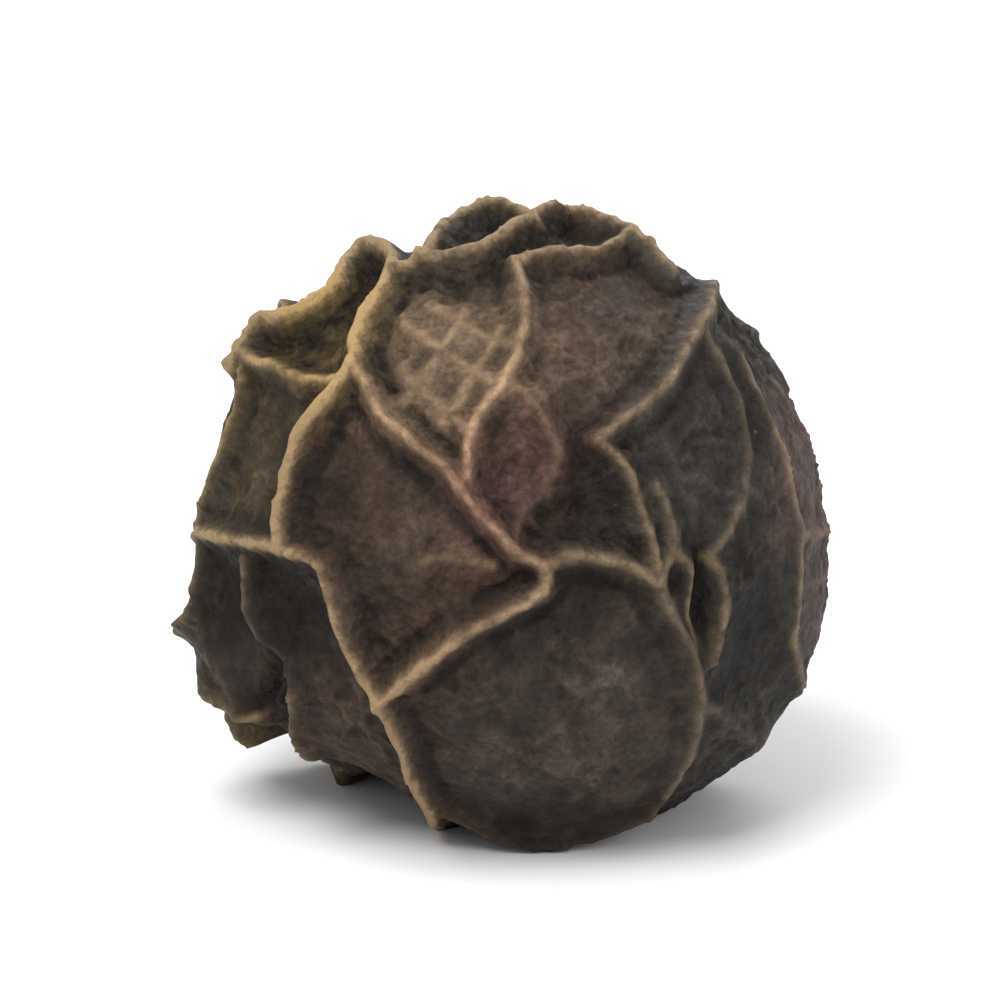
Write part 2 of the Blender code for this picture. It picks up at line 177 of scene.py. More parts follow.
def seen_direction(across, up):
    """The direction, from the berry's middle, of a place given in millimetres as seen."""
    flat = np.array((across * MM / SEEN_HALF_WIDTH, up * MM / SEEN_HALF_HEIGHT))
    reach = np.linalg.norm(flat)
    side = 1.0
    if reach > 1:
        flat *= (2 - reach) / reach
        side = -1.0
    towards = side * math.sqrt(max(0.0, 1 - flat @ flat))
    return np.array((
        flat[0],
        flat[1] * math.sin(VIEW_TILT) - towards * math.cos(VIEW_TILT),
        flat[1] * math.cos(VIEW_TILT) + towards * math.sin(VIEW_TILT),
    ))


print("the middle of what is seen lies towards", seen_direction(0, 0).round(2))

# %% [markdown]
# ## Random but smooth
#
# Nothing on a dried berry is straight or even. Smooth noise gives values that rise and fall
# gently over a chosen length, so a real size in millimetres decides how coarse it is. Scattered
# noise gives a pattern of small cells instead, and the distance to the nearest border between two
# of them is what thin wrinkles need. A shift moves a pattern along, so that two noises of the same
# length don't look alike.

# %% Noise helpers
# Unless a seed is set, Blender takes one from the clock, and every run would bend the lines in
# another way. The solid was made with this seed too, so the two nets run alike.
NOISE_SEED = 1796054081
noise.seed_set(NOISE_SEED)


def smooth_noise(points, length, shift=0.0):
    """A value from about -1 to 1 at each point, which changes over about the given length."""
    return np.array([noise.noise(Vector(place)) for place in points / length + shift])


def bending(points, length):
    """A smooth random vector at each point, to bend lines with."""
    return np.array([noise.noise_vector(Vector(place)) for place in points / length])


def border_distance(points, length, shift=0.0):
    """How far each point lies from a border between scattered cells about that length across."""
    gaps = [noise.voronoi(Vector(place))[0] for place in points / length + shift]
    return np.array([(gap[1] - gap[0]) * length for gap in gaps])


def shifted(directions, amount, length):
    """Directions shifted by a smooth noise, which bends every line laid out in them."""
    return normalised(directions + bending(directions * RADIUS, length) * (amount / RADIUS))


def smooth_step(values, start, end):
    """0 up to start, 1 from end on, and a smooth rise between them."""
    t = np.clip((values - start) / (end - start), 0, 1)
    return t * t * (3 - 2 * t)


print("the noise at one place is", smooth_noise(np.array([(0.3, 0.4, 0.5)]), 1.0)[0].round(3))

# %% [markdown]
# ## The even form
#
# Under its net the berry is a sphere with a few sides that dried flatter, bulges, dents and slow
# lumps. The skin is a ball of nearly equal triangles, about 0.03 mm on a side, which is fine
# enough for the small wrinkles. An icosphere has no poles, so no fan of thin triangles shows at
# the top, as it would on a ball made of rings.

# %% Make the fine sphere
ICO_SUBDIVISIONS = 4
EDGE_CUTS = 11


def fine_sphere():
    """A sphere of radius 1 made of very many nearly equal triangles."""
    sphere = bmesh.new()
    bmesh.ops.create_icosphere(sphere, subdivisions=ICO_SUBDIVISIONS, radius=1.0)
    bmesh.ops.subdivide_edges(sphere, edges=sphere.edges[:], cuts=EDGE_CUTS, use_grid_fill=True)
    return sphere


skin = fine_sphere()
directions = normalised(np.array([vertex.co[:] for vertex in skin.verts]))
print("the skin has", len(skin.faces), "triangles")

# %% Flatter sides, bulges and lumps
LUMP = 0.1 * MM
LUMP_LENGTH = 1.5 * MM

# The direction that each flatter side faces, and how far it lies from the middle, as a share of
# the radius.
FLATS = (
    ((-0.45, -0.23, -0.86), 0.905),
    ((-0.95, 0.10, 0.28), 0.945),
    ((-0.62, 0.74, 0.26), 0.93),
    ((0.35, 0.80, -0.49), 0.93),
)
FLAT_CRISPNESS = 20

# Bulges, and dents where the height is below zero: direction, height and half width of each.
BULGES = (
    ((0.90, -0.11, -0.43), 0.18 * MM, 1.2 * MM),
    ((-0.91, -0.11, -0.39), 0.26 * MM, 0.45 * MM),
    ((0.55, 0.22, 0.81), -0.22 * MM, 0.4 * MM),
    ((-0.42, 0.24, 0.87), -0.12 * MM, 0.3 * MM),
)


def bell(distance, half_width):
    """1 at distance 0, falling smoothly to nothing past the half width."""
    return np.exp(-((distance / half_width) ** 2))


def bump(directions, centre, half_width):
    """A smooth round bump of height 1 about one direction."""
    away = np.linalg.norm(directions - normalised(np.array(centre)), axis=1) * RADIUS
    return bell(away, half_width)


def even_form(directions):
    """The berry's radius without its net: a lumpy sphere with flat sides, bulges and dents."""
    tightness = np.ones(len(directions))
    for facing, share in FLATS:
        slope = np.maximum(directions @ normalised(np.array(facing)), 0)
        tightness += (slope / share) ** FLAT_CRISPNESS
    lumps = LUMP * smooth_noise(directions * RADIUS, LUMP_LENGTH)
    radii = RADIUS * tightness ** (-1 / FLAT_CRISPNESS) + lumps
    for facing, height, half_width in BULGES:
        radii += height * bump(directions, facing, half_width)
    return radii


even_radii = even_form(directions)
shortest, longest = even_radii.min(), even_radii.max()
print("the even form's radius is", (shortest / MM).round(2), "to", (longest / MM).round(2), "mm")

# %% [markdown]
# ## The cells of the net
#
# Between the folds lie cells of smoother skin. Each is given the place of its middle, how hard it
# pulls on its borders (a stronger pull makes a larger cell), how far its floor has sunk, in
# millimetres, and the name of its tint. The tints are mixed further down, where the material is.

# %% Cells of the side that is seen
SEEN_CELLS = {
    "bottom": (0.55, -1.35, 1.03, -0.03, "dun"),
    "middle_left": (-1.01, -0.16, 1.0, 0.02, "umber"),
    "upper_middle": (-0.34, 1.22, 0.985, 0.04, "taupe"),
    "purple": (-0.02, 0.41, 0.945, 0.10, "plum"),
    "dark": (0.61, 0.20, 0.965, 0.12, "char"),
    "upper_right": (0.63, 1.47, 0.985, 0.0, "russet"),
    "right": (1.59, 0.71, 1.0, 0.0, "slate"),
    "right_low": (1.79, -0.61, 0.985, 0.05, "slate"),
    "rim": (2.43, 0.13, 0.99, 0.0, "rosy"),
    "low_right": (1.94, -1.55, 0.985, 0.02, "slate"),
    "low_left": (-1.48, -1.55, 0.985, 0.05, "umber"),
    "left_dark": (-1.90, -0.60, 0.985, 0.22, "char"),
    "left": (-2.07, 0.47, 0.99, 0.11, "olive"),
    "loop_valley": (-1.31, 1.42, 0.945, 0.12, "gold"),
    "top": (-0.27, 2.16, 0.97, 0.15, "char"),
    "top_right": (0.50, 2.17, 0.965, 0.13, "umber"),
    "crown_left": (-1.88, 1.67, 0.985, 0.10, "russet"),
    "underneath": (-0.14, -2.49, 0.99, 0.12, "char"),
    "upper_rim": (1.49, 1.87, 0.99, 0.02, "slate"),
    "top_left": (-1.18, 2.26, 0.98, 0.12, "umber"),
}

# %% [markdown]
# ## The folds of the net
#
# Each fold is a line drawn through the places that it passes. It has a height at both
# ends, as a share of the common height, and a wear: how far rubbing has bared and paled its
# crest. A Catmull-Rom curve runs smoothly through all the places, so a few of them are enough.

# %% Folds of the side that is seen
SEEN_FOLDS = {
    "long": (1.0, 1.0, 0.75, (
        (-1.16, 1.15), (-0.94, 0.81), (-0.67, 0.55), (-0.37, 0.30), (-0.14, 0.03), (0.07, -0.18),
        (0.24, -0.26))),
    "middle_low": (1.0, 1.0, 1.3, (
        (0.24, -0.26), (0.25, -0.43), (0.04, -0.56), (-0.35, -0.75), (-0.67, -0.98),
        (-0.95, -1.21))),
    "foot": (1.0, 0.6, 2.0, (
        (-0.95, -1.21), (-0.85, -1.52), (-0.77, -1.79), (-0.63, -2.13), (-0.52, -2.48))),
    "left_low": (1.1, 1.1, 1.1, (
        (-0.95, -1.21), (-1.13, -0.87), (-1.27, -0.52), (-1.34, -0.26), (-1.50, -0.18))),
    "left_level": (1.1, 0.3, 1.5, (
        (-1.50, -0.18), (-1.82, -0.12), (-2.13, -0.06), (-2.43, -0.01), (-2.66, 0.03))),
    "left_up": (1.0, 0.9, 2.6, (
        (-1.63, -0.14), (-1.64, 0.13), (-1.57, 0.43), (-1.44, 0.74), (-1.29, 1.01),
        (-1.16, 1.15))),
    "middle_level": (1.0, 0.8, 0.8, ((0.24, -0.26), (0.51, -0.20), (0.78, -0.24), (1.06, -0.35))),
    "right_low": (0.9, 0.35, 0.4, (
        (1.06, -0.35), (1.18, -0.62), (1.34, -0.89), (1.40, -1.25), (1.32, -1.67),
        (1.05, -2.07))),
    "dark_right": (0.7, 0.5, 0.6, (
        (1.06, -0.35), (1.03, -0.10), (0.95, 0.20), (0.84, 0.45), (0.63, 0.61))),
    "blob": (0.8, 0.5, 0.6, ((1.06, -0.35), (1.18, -0.14), (1.18, 0.13), (1.09, 0.30))),
    "upper_right": (0.9, 0.5, 0.8, (
        (0.63, 0.61), (0.86, 0.78), (1.05, 0.93), (1.24, 1.16), (1.43, 1.47), (1.55, 1.77))),
    "right_inner": (0.4, 0.2, 0.4, (
        (1.43, 1.47), (1.68, 1.12), (1.83, 0.66), (1.80, 0.28), (1.66, 0.01), (1.51, -0.18))),
    "right_rim": (0.35, 0.3, 0.6, (
        (1.78, 1.28), (2.05, 0.78), (2.20, 0.36), (2.26, -0.03), (2.20, -0.49), (2.12, -0.83),
        (2.16, -1.12))),
    "slit_left": (0.7, 0.2, 0.7, ((1.18, -0.14), (1.34, -0.33), (1.34, -0.56), (1.39, -0.83))),
    "slit_right": (0.3, 0.7, 0.5, ((1.51, -0.18), (1.59, -0.45), (1.55, -0.72), (1.47, -0.93))),
    "loop": (0.8, 1.2, 2.2, (
        (-1.16, 1.15), (-1.14, 1.35), (-1.04, 1.58), (-0.90, 1.77), (-0.88, 1.95), (-1.06, 2.06),
        (-1.19, 1.96), (-1.29, 1.74), (-1.44, 1.56), (-1.63, 1.49), (-1.84, 1.47), (-1.99, 1.33),
        (-2.09, 1.16))),
    "loop_low": (0.8, 0.6, 1.0, ((-1.99, 1.28), (-1.71, 1.12), (-1.40, 1.05), (-1.16, 1.15))),
    "oval_top": (0.7, 0.8, 1.5, (
        (-0.88, 1.87), (-0.67, 1.91), (-0.56, 2.08), (-0.41, 2.24), (-0.18, 2.34), (0.05, 2.31),
        (0.21, 2.23))),
    "oval_low": (1.1, 0.8, 1.4, (
        (-0.67, 1.91), (-0.37, 1.89), (-0.14, 1.98), (0.09, 2.18), (0.28, 2.30), (0.48, 2.33),
        (0.71, 2.25), (0.90, 2.12), (1.05, 1.99), (1.20, 1.85))),
    "oval_right": (0.8, 0.7, 1.1, (
        (0.02, 1.89), (0.25, 1.97), (0.51, 1.99), (0.74, 2.03), (0.90, 2.12))),
    "yellow": (0.65, 0.45, 0.9, (
        (0.02, 1.89), (0.11, 1.62), (0.11, 1.35), (0.02, 1.12), (-0.16, 0.91), (-0.31, 0.66),
        (-0.33, 0.36))),
    "pink": (0.4, 0.25, 0.2, (
        (-0.16, 0.91), (0.09, 0.99), (0.23, 0.82), (0.36, 0.55), (0.25, 0.28), (0.11, 0.13),
        (0.02, -0.12))),
    "left_edge": (0.6, 0.5, 0.9, (
        (-1.99, 1.28), (-2.07, 0.97), (-2.20, 0.55), (-2.40, 0.24), (-2.49, -0.03))),
    "pocket": (0.7, 0.2, 0.4, ((-1.99, -0.22), (-2.00, -0.52), (-1.96, -0.83))),
    "flap": (0.4, 2.0, 0.4, (
        (-2.45, -0.05), (-2.39, -0.45), (-2.40, -0.75), (-2.40, -0.98), (-2.28, -1.22),
        (-2.09, -1.43), (-1.97, -1.56))),
    "flap_root": (0.5, 0.5, 0.4, ((-1.67, -1.25), (-1.69, -1.48), (-1.59, -1.75))),
    "bottom_low": (0.5, 0.4, 0.2, (
        (-0.63, -2.13), (-0.18, -2.23), (0.32, -2.24), (0.74, -2.17), (1.05, -2.07))),
    "crease": (0.1, 0.25, 0.3, ((-0.75, -0.29), (-0.44, -0.20), (-0.14, -0.26))),
    "crown_over": (0.8, 0.3, 1.1, ((-1.63, 1.49), (-1.80, 1.72), (-1.95, 1.97))),
    "oval_over": (0.7, 0.3, 0.8, ((-0.18, 2.34), (-0.22, 2.62))),
    "upper_over": (0.4, 0.3, 0.5, ((1.55, 1.77), (1.66, 1.95), (1.72, 2.10))),
    "rim_over": (0.2, 0.1, 0.4, ((2.26, -0.03), (2.45, -0.02), (2.66, 0.06))),
    "low_right_over": (0.3, 0.15, 0.2, ((1.40, -1.25), (1.72, -1.42), (2.02, -1.78))),
    "cross_down_1": (0.16, 0.16, 0.45, ((-0.81, 1.49), (-0.45, 1.24), (-0.12, 1.03))),
    "cross_down_2": (0.16, 0.12, 0.45, ((-0.84, 1.15), (-0.55, 0.90), (-0.29, 0.69))),
    "cross_down_3": (0.12, 0.12, 0.3, ((-0.60, 1.62), (-0.28, 1.42), (0.04, 1.30))),
    "cross_up_1": (0.16, 0.12, 0.45, ((-0.35, 1.55), (-0.56, 1.23), (-0.81, 0.92))),
    "cross_up_2": (0.16, 0.14, 0.45, ((-0.06, 1.43), (-0.27, 1.08), (-0.52, 0.74))),
}

# Clefts, where the skin has cracked or tucked under: depth at both ends, and places.
SEEN_CLEFTS = {
    "slit": (0.9, 0.5, ((1.46, -0.22), (1.42, -0.45), (1.45, -0.76))),
    "behind_flap": (0.5, 1.0, ((-2.02, -0.80), (-1.94, -1.10), (-1.96, -1.40))),
    "notch": (1.0, 1.5, ((-1.84, -1.22), (-1.79, -1.42), (-1.84, -1.62))),
}
print(len(SEEN_CELLS), "cells and", len(SEEN_FOLDS), "folds are laid by hand")

# %% Curves through the places
PATH_STEPS = 4


def smooth_path(places):
    """Directions along a smooth curve through the places, with PATH_STEPS to each leg."""
    knots = np.array([places[0], *places, places[-1]])
    path = []
    for before, start, end, after in zip(knots, knots[1:], knots[2:], knots[3:]):
        for step in range(PATH_STEPS):
            t = step / PATH_STEPS
            place = 0.5 * (2 * start + (end - before) * t
                           + (2 * before - 5 * start + 4 * end - after) * t ** 2
                           + (3 * start - before - 3 * end + after) * t ** 3)
            path.append(seen_direction(*place))
    path.append(seen_direction(*places[-1]))
    return np.array(path)


def nearest_on_path(directions, path):
    """(distance from each direction to the path, how far along it the nearest point lies)."""
    distance = np.full(len(directions), np.inf)
    along = np.zeros(len(directions))
    legs = len(path) - 1
    for leg in range(legs):
        run = path[leg + 1] - path[leg]
        share = np.clip((directions - path[leg]) @ run / (run @ run), 0, 1)
        point = path[leg] + share[:, None] * run
        gap = np.linalg.norm(directions - point, axis=1)
        nearer = gap < distance
        distance[nearer] = gap[nearer]
        along[nearer] = (leg + share[nearer]) / legs
    return distance * RADIUS, along


print("the long fold is drawn by", len(smooth_path(SEEN_FOLDS["long"][-1])), "directions")

# %% [markdown]
# ## The hidden side
#
# Nothing shows what the far side is like, so its cells are scattered there by a seeded draw, as
# far apart as the ones in front. The border between two scattered cells is a straight line on the
# sphere, so the lines are bent by noise before a fold is laid along them. A net of closed cells
# alone looks like a football, so each hidden cell also gets a spur: a short fold that leaves its
# border and dies away inside it.

# %% Scatter the hidden cells
HIDDEN_SEED = 11
HIDDEN_TRIES = 4000
HIDDEN_APART = math.radians(27)
UNDERSIDE_APART = math.radians(58)
HIDDEN_BEHIND = 0.05
HIDDEN_FLOOR = (0.0 * MM, 0.10 * MM)
HIDDEN_PULL = (0.945, 0.985)
HIDDEN_SHARE = (0.5, 1.3)


def hidden_cells(taken):
    """Directions scattered over the hidden side, clear of each other and of the taken ones."""
    draw = random.Random(HIDDEN_SEED)
    towards_viewer = seen_direction(0, 0)
    found = []
    for _ in range(HIDDEN_TRIES):
        place = normalised(np.array([draw.gauss(0, 1) for _ in range(3)]))
        clear = min(math.acos(np.clip(place @ other, -1, 1)) for other in [*taken, *found])
        off_underside = -place[2] < math.cos(UNDERSIDE_APART)
        if place @ towards_viewer < HIDDEN_BEHIND and clear > HIDDEN_APART and off_underside:
            found.append(place)
    return found


seen = [seen_direction(across, up) for across, up, *_ in SEEN_CELLS.values()]
hidden = hidden_cells(seen)
print(len(hidden), "cells are scattered over the hidden side")

# %% Spurs in the hidden cells
SPUR_STARTS = 0.75
SPUR_ENDS = 0.15
SPUR_BEND = 0.12
SPUR_SHARE = (0.5, 1.0)


def spurs(cells):
    """One spur in each hidden cell: its share at the border and the directions that it passes."""
    draw = random.Random(HIDDEN_SEED + 2)
    laid = []
    for cell in cells:
        reach = min(np.linalg.norm(cell - other) for other in cells if other is not cell) / 2
        outward = normalised(np.cross(cell, [draw.gauss(0, 1) for _ in range(3)]))
        sideways = np.cross(cell, outward) * draw.uniform(-SPUR_BEND, SPUR_BEND)
        steps = np.linspace(SPUR_STARTS, SPUR_ENDS, PATH_STEPS + 1)[:, None]
        path = cell + 2 * reach * steps * outward + 4 * sideways * steps * (1 - steps)
        laid.append((draw.uniform(*SPUR_SHARE), normalised(path)))
    return laid


hidden_spurs = spurs(hidden)
print(len(hidden_spurs), "spurs run into them")

# %% Put the whole net together
HIDDEN_TINTS = ("slate", "umber", "char", "rosy", "russet", "olive")

draw = random.Random(HIDDEN_SEED + 1)
pulls = [pull for _, _, pull, _, _ in SEEN_CELLS.values()]
pulls += [draw.uniform(*HIDDEN_PULL) for _ in hidden]
floors = [sunk * MM for _, _, _, sunk, _ in SEEN_CELLS.values()]
floors += [draw.uniform(*HIDDEN_FLOOR) for _ in hidden]
shares = np.zeros((len(pulls), len(pulls)))
for i in range(len(seen), len(pulls)):
    for j in range(i):
        shares[i, j] = shares[j, i] = draw.uniform(*HIDDEN_SHARE)
centres = np.array([*seen, *hidden]) * np.array(pulls)[:, None]
floors = np.array(floors)
cell_tints = [tint for *_, tint in SEEN_CELLS.values()]
cell_tints += [draw.choice(HIDDEN_TINTS) for _ in hidden]
print("the net has", len(centres), "cells in all")

# %% [markdown]
# ## From lines to relief
#
# A fold is a narrow crest on a wider skirt, two bell curves added. The skin dips beside it and
# comes up slowly further out, because the fold was pulled up out of it: a high fold draws the
# skin down further than a faint one. Right beside the crest runs a narrow gutter. Where folds
# meet, the strongest one wins softly, so that they run into each other and don't pile up.

# %% A fold's section
CREST_HALF_WIDTH = 0.065 * MM
SKIRT_HALF_WIDTH = 0.19 * MM
CREST_PART = 0.62


def fold_section(distance, breadth):
    """A fold's cross-section, from 1 on its crest to 0 away from it, with a crest of any breadth."""
    crest = bell(distance, CREST_HALF_WIDTH * breadth)
    return CREST_PART * crest + (1 - CREST_PART) * bell(distance, SKIRT_HALF_WIDTH)


print("where its crest ends a fold has", fold_section(CREST_HALF_WIDTH, 1).round(2), "of its height")

# %% [markdown]
# ## Gathers
#
# Beside a fold the skin is gathered across it, like cloth beside a tight seam. The gathers are
# short creases, so their noise changes quickly along the fold and hardly at all away from it.

# %% Gathers beside a fold
GATHER_LENGTH = 0.12 * MM
GATHER_STRETCH = 5
GATHER_AWAY = 0.17 * MM
GATHER_HALF_WIDTH = 0.13 * MM
GATHER_SHARPNESS = 2.5


def path_length(path):
    """How long a path on the unit sphere is on the berry."""
    return np.linalg.norm(np.diff(path, axis=0), axis=1).sum() * RADIUS


def gathered(gap, run, number):
    """Creases from 0 to 1 across a fold, at a gap from its crest and a run along it."""
    creases = np.zeros(len(gap))
    near = gap < GATHER_AWAY + 2 * GATHER_HALF_WIDTH
    own_pattern = np.full(near.sum(), number * MM)
    places = np.column_stack([run[near], gap[near] / GATHER_STRETCH, own_pattern])
    sharp = 1 - np.abs(smooth_noise(places, GATHER_LENGTH)) * GATHER_SHARPNESS
    creases[near] = np.clip(sharp, 0, 1) * bell(gap[near] - GATHER_AWAY, GATHER_HALF_WIDTH)
    return creases


# %% [markdown]
# ## Laying the net
#
# The directions are bent by noise before the folds are laid in them, so that every fold wavers
# and is crimped a little. A crest is sharp in one place and broad in the next, and its top rises
# and falls.
#
# On the hidden side each point belongs to the cell that pulls it hardest, and a fold runs where
# another cell pulls as hard. Those folds meander, and start low near the outline. The same pulls
# tell how far the skin has sunk at each point, seen or hidden. Then the spurs and the listed folds
# are added. For each point the script keeps how high it is raised, how far the nearest crest is,
# how worn it is, and how strongly the folds near it draw the skin down.

# %% Bend the lines
WAVER = 0.035 * MM
WAVER_LENGTH = 0.5 * MM
CRIMP = 0.018 * MM
CRIMP_LENGTH = 0.17 * MM
UNEVEN = 0.3
UNEVEN_LENGTH = 0.38 * MM
NICKS = 0.12
NICKS_LENGTH = 0.14 * MM

bent = shifted(shifted(directions, WAVER, WAVER_LENGTH), CRIMP, CRIMP_LENGTH)
on_skin = bent * RADIUS
breadth = 1 + UNEVEN * smooth_noise(on_skin, UNEVEN_LENGTH, 2.2)
evenness = 1 + UNEVEN * smooth_noise(on_skin, UNEVEN_LENGTH, 8.4)
evenness += NICKS * smooth_noise(on_skin, NICKS_LENGTH, 4.6)
moved = np.linalg.norm(bent - directions, axis=1).max() * RADIUS
print("the lines are bent by up to", (moved / MM).round(3), "mm")

# %% Find the cells and their borders
MEANDER = 0.2 * MM
MEANDER_LENGTH = 0.8 * MM

pull_of_cells = shifted(bent, MEANDER, MEANDER_LENGTH) @ centres.T
own = pull_of_cells.argmax(axis=1)
top = pull_of_cells.max(axis=1)
apart = np.linalg.norm(centres[:, None] - centres[None], axis=-1)
np.fill_diagonal(apart, 1.0)
gaps = (top[:, None] - pull_of_cells) / apart[own] * RADIUS
gaps[shares[own] == 0] = np.inf
other = gaps.argmin(axis=1)
distance = gaps.min(axis=1)
print("the largest cell holds", np.bincount(own).max(), "of", len(own), "points")

# %% Raise the folds between the hidden cells
OUTLINE_SHARE = 0.2
FULL_BEHIND = 0.5
FOLD_BLEND = 4
DIP_REACH = 0.36 * MM
GUTTER_AWAY = 0.155 * MM
GUTTER_HALF_WIDTH = 0.055 * MM
WORN_HALF_WIDTH = 0.035 * MM
HIDDEN_WEAR = 0.6

behind = np.clip(-(directions @ seen_direction(0, 0)) / FULL_BEHIND, 0, 1)
share = shares[own, other] * (OUTLINE_SHARE + (1 - OUTLINE_SHARE) * behind)
raised = (share * fold_section(distance, breadth)) ** FOLD_BLEND
drawn = np.minimum(share, 1) * np.exp(-distance / DIP_REACH)
worn = HIDDEN_WEAR * share * bell(distance, WORN_HALF_WIDTH)
gutter = share * bell(distance - GUTTER_AWAY, GUTTER_HALF_WIDTH)
print("the highest hidden fold is", share.max().round(2), "times as high as a common one")

# %% How near each cell is, and how far the skin has sunk
FLOOR_BLEND = 0.02

nearness = np.exp((pull_of_cells - top[:, None]) / FLOOR_BLEND)
nearness /= nearness.sum(axis=1, keepdims=True)
sunk = nearness @ floors
print("the deepest floor lies", (sunk.max() / MM).round(2), "mm down")

# %% Add the listed folds, and the spurs
lines = [(*fold, smooth_path(places)) for *fold, places in SEEN_FOLDS.values()]
lines += [(start, 0.0, HIDDEN_WEAR * start, path) for start, path in hidden_spurs]
gathers = np.zeros(len(directions))
for number, (start, end, wear, path) in enumerate(lines):
    gap, along = nearest_on_path(bent, path)
    share = start + (end - start) * along
    raised += (share * fold_section(gap, breadth)) ** FOLD_BLEND
    worn = np.maximum(worn, wear * bell(gap, WORN_HALF_WIDTH))
    gutter = np.maximum(gutter, share * bell(gap - GUTTER_AWAY, GUTTER_HALF_WIDTH))
    drawn = np.maximum(drawn, np.minimum(share, 1) * np.exp(-gap / DIP_REACH))
    distance = np.minimum(distance, gap)
    gathers = np.maximum(gathers, share * gathered(gap, along * path_length(path), number))
raised = raised ** (1 / FOLD_BLEND) * evenness
print("folds cover", round(100 * (distance < CREST_HALF_WIDTH).mean()), "% of the skin")

# %% Sink the hollows and clefts
FOLD_HEIGHT = 0.19 * MM
DIP_DEPTH = 0.13 * MM
DIP_START = 0.2 * MM
FLOOR_REACH = 0.30 * MM
GUTTER_DEPTH = 0.035 * MM
CLEFT_DEPTH = 0.20 * MM
CLEFT_HALF_WIDTH = 0.09 * MM

dip = DIP_DEPTH * (1 - bell(distance, DIP_START)) * drawn
gutter *= 1 - bell(distance, CREST_HALF_WIDTH)
relief = FOLD_HEIGHT * raised - dip - sunk * (1 - bell(distance, FLOOR_REACH))
relief -= GUTTER_DEPTH * gutter
cleft = np.zeros(len(directions))
for start, end, places in SEEN_CLEFTS.values():
    gap, along = nearest_on_path(bent, smooth_path(places))
    cleft = np.maximum(cleft, (start + (end - start) * along) * bell(gap, CLEFT_HALF_WIDTH))
relief -= CLEFT_DEPTH * cleft
print("the net stands between", (relief.min() / MM).round(2), "and", (relief.max() / MM).round(2), "mm")

# %% [markdown]
# ## The pip
#
# The flower's withered end leaves a small pip in a shallow dish, opposite the scar of the stalk.
# Here it lies underneath, at the back.

# %% Raise the pip
PIP_DIRECTION = (0.46, 0.55, -0.70)
PIP_HEIGHT = 0.16 * MM
PIP_HALF_WIDTH = 0.15 * MM
PIP_DISH_DEPTH = 0.12 * MM
PIP_DISH_HALF_WIDTH = 0.42 * MM

relief += PIP_HEIGHT * bump(directions, PIP_DIRECTION, PIP_HALF_WIDTH)
relief -= PIP_DISH_DEPTH * bump(directions, PIP_DIRECTION, PIP_DISH_HALF_WIDTH)
print("the pip is", round(2 * PIP_HALF_WIDTH / MM, 2), "mm wide")

# %% [markdown]
# ## Small wrinkles
#
# Between the large folds the skin has fine wrinkles, which come and go. They are thin raised
# lines along the borders of much smaller cells, and finer ones inside those. Last comes the grain
# of the skin itself, a few thousandths of a millimetre high.
#
# The small parts are added up on their own first. Their sum is used twice: as relief, and as a
# colour, which is painted light where the small relief stands out and painted shade where it
# sinks.

# %% Fine wrinkles, in patches
WRINKLE = 0.036 * MM
WRINKLE_LENGTH = 0.62 * MM
WRINKLE_HALF_WIDTH = 0.05 * MM
WANDERING = 0.15 * MM
WANDERING_LENGTH = 0.35 * MM
PATCH_LENGTH = 0.8 * MM

# The noise values between which a patch of wrinkles fades in.
PATCH_EDGE = (-0.25, 0.35)

off_crest = 1 - bell(distance, CREST_HALF_WIDTH)
wandering = on_skin + WANDERING * bending(on_skin, WANDERING_LENGTH)
fine_lines = bell(border_distance(wandering, WRINKLE_LENGTH), WRINKLE_HALF_WIDTH)
patches = smooth_step(smooth_noise(on_skin, PATCH_LENGTH, 3.7), *PATCH_EDGE)
small = WRINKLE * fine_lines * patches * off_crest
print("the fine wrinkles are", (small.max() / MM).round(3), "mm high")

# %% Gathers and puckers
GATHER = 0.028 * MM
PUCKER = 0.018 * MM
PUCKER_LENGTH = 0.20 * MM

small += GATHER * gathers * off_crest
small += PUCKER * smooth_noise(on_skin, PUCKER_LENGTH, 9.1)
print("with the gathers they are", (small.max() / MM).round(3), "mm high")

# %% Crackle and grain
CRACKLE = 0.022 * MM
CRACKLE_LENGTH = 0.22 * MM
CRACKLE_HALF_WIDTH = 0.026 * MM
CRACKLED_LENGTH = 0.5 * MM
CRACKLED_EDGE = (-0.3, 0.3)
GRAIN = 0.008 * MM
GRAIN_LENGTH = 0.08 * MM

crackle = bell(border_distance(wandering, CRACKLE_LENGTH, 5.3), CRACKLE_HALF_WIDTH)
crackled = smooth_step(smooth_noise(on_skin, CRACKLED_LENGTH, 1.9), *CRACKLED_EDGE)
small += CRACKLE * crackle * crackled
small += GRAIN * smooth_noise(on_skin, GRAIN_LENGTH, 6.6)
relief += small
print("all the small relief is", (small.max() / MM).round(3), "mm high at most")

# %% [markdown]
# ## The underside, and the size
#
# The berry rests on a small flat spot, where it is pressed to a level plane and the net fades
# out, and on three knots of the net round it. Each knot is raised just far enough to reach the
# same plane. Last, the skin is fitted to the box of the solid, so that it is exactly as large.

# %% Press the underside and fit the size
REST_UNDER_MIDDLE = 2.15 * MM
CALM_ANGLE = math.radians(20)
CALM_SHARE = 0.85
KNOTS_FACE = (math.radians(-78), math.radians(40), math.radians(158))
KNOT_LEAN = math.radians(34)
KNOT_HALF_WIDTH = 0.34 * MM

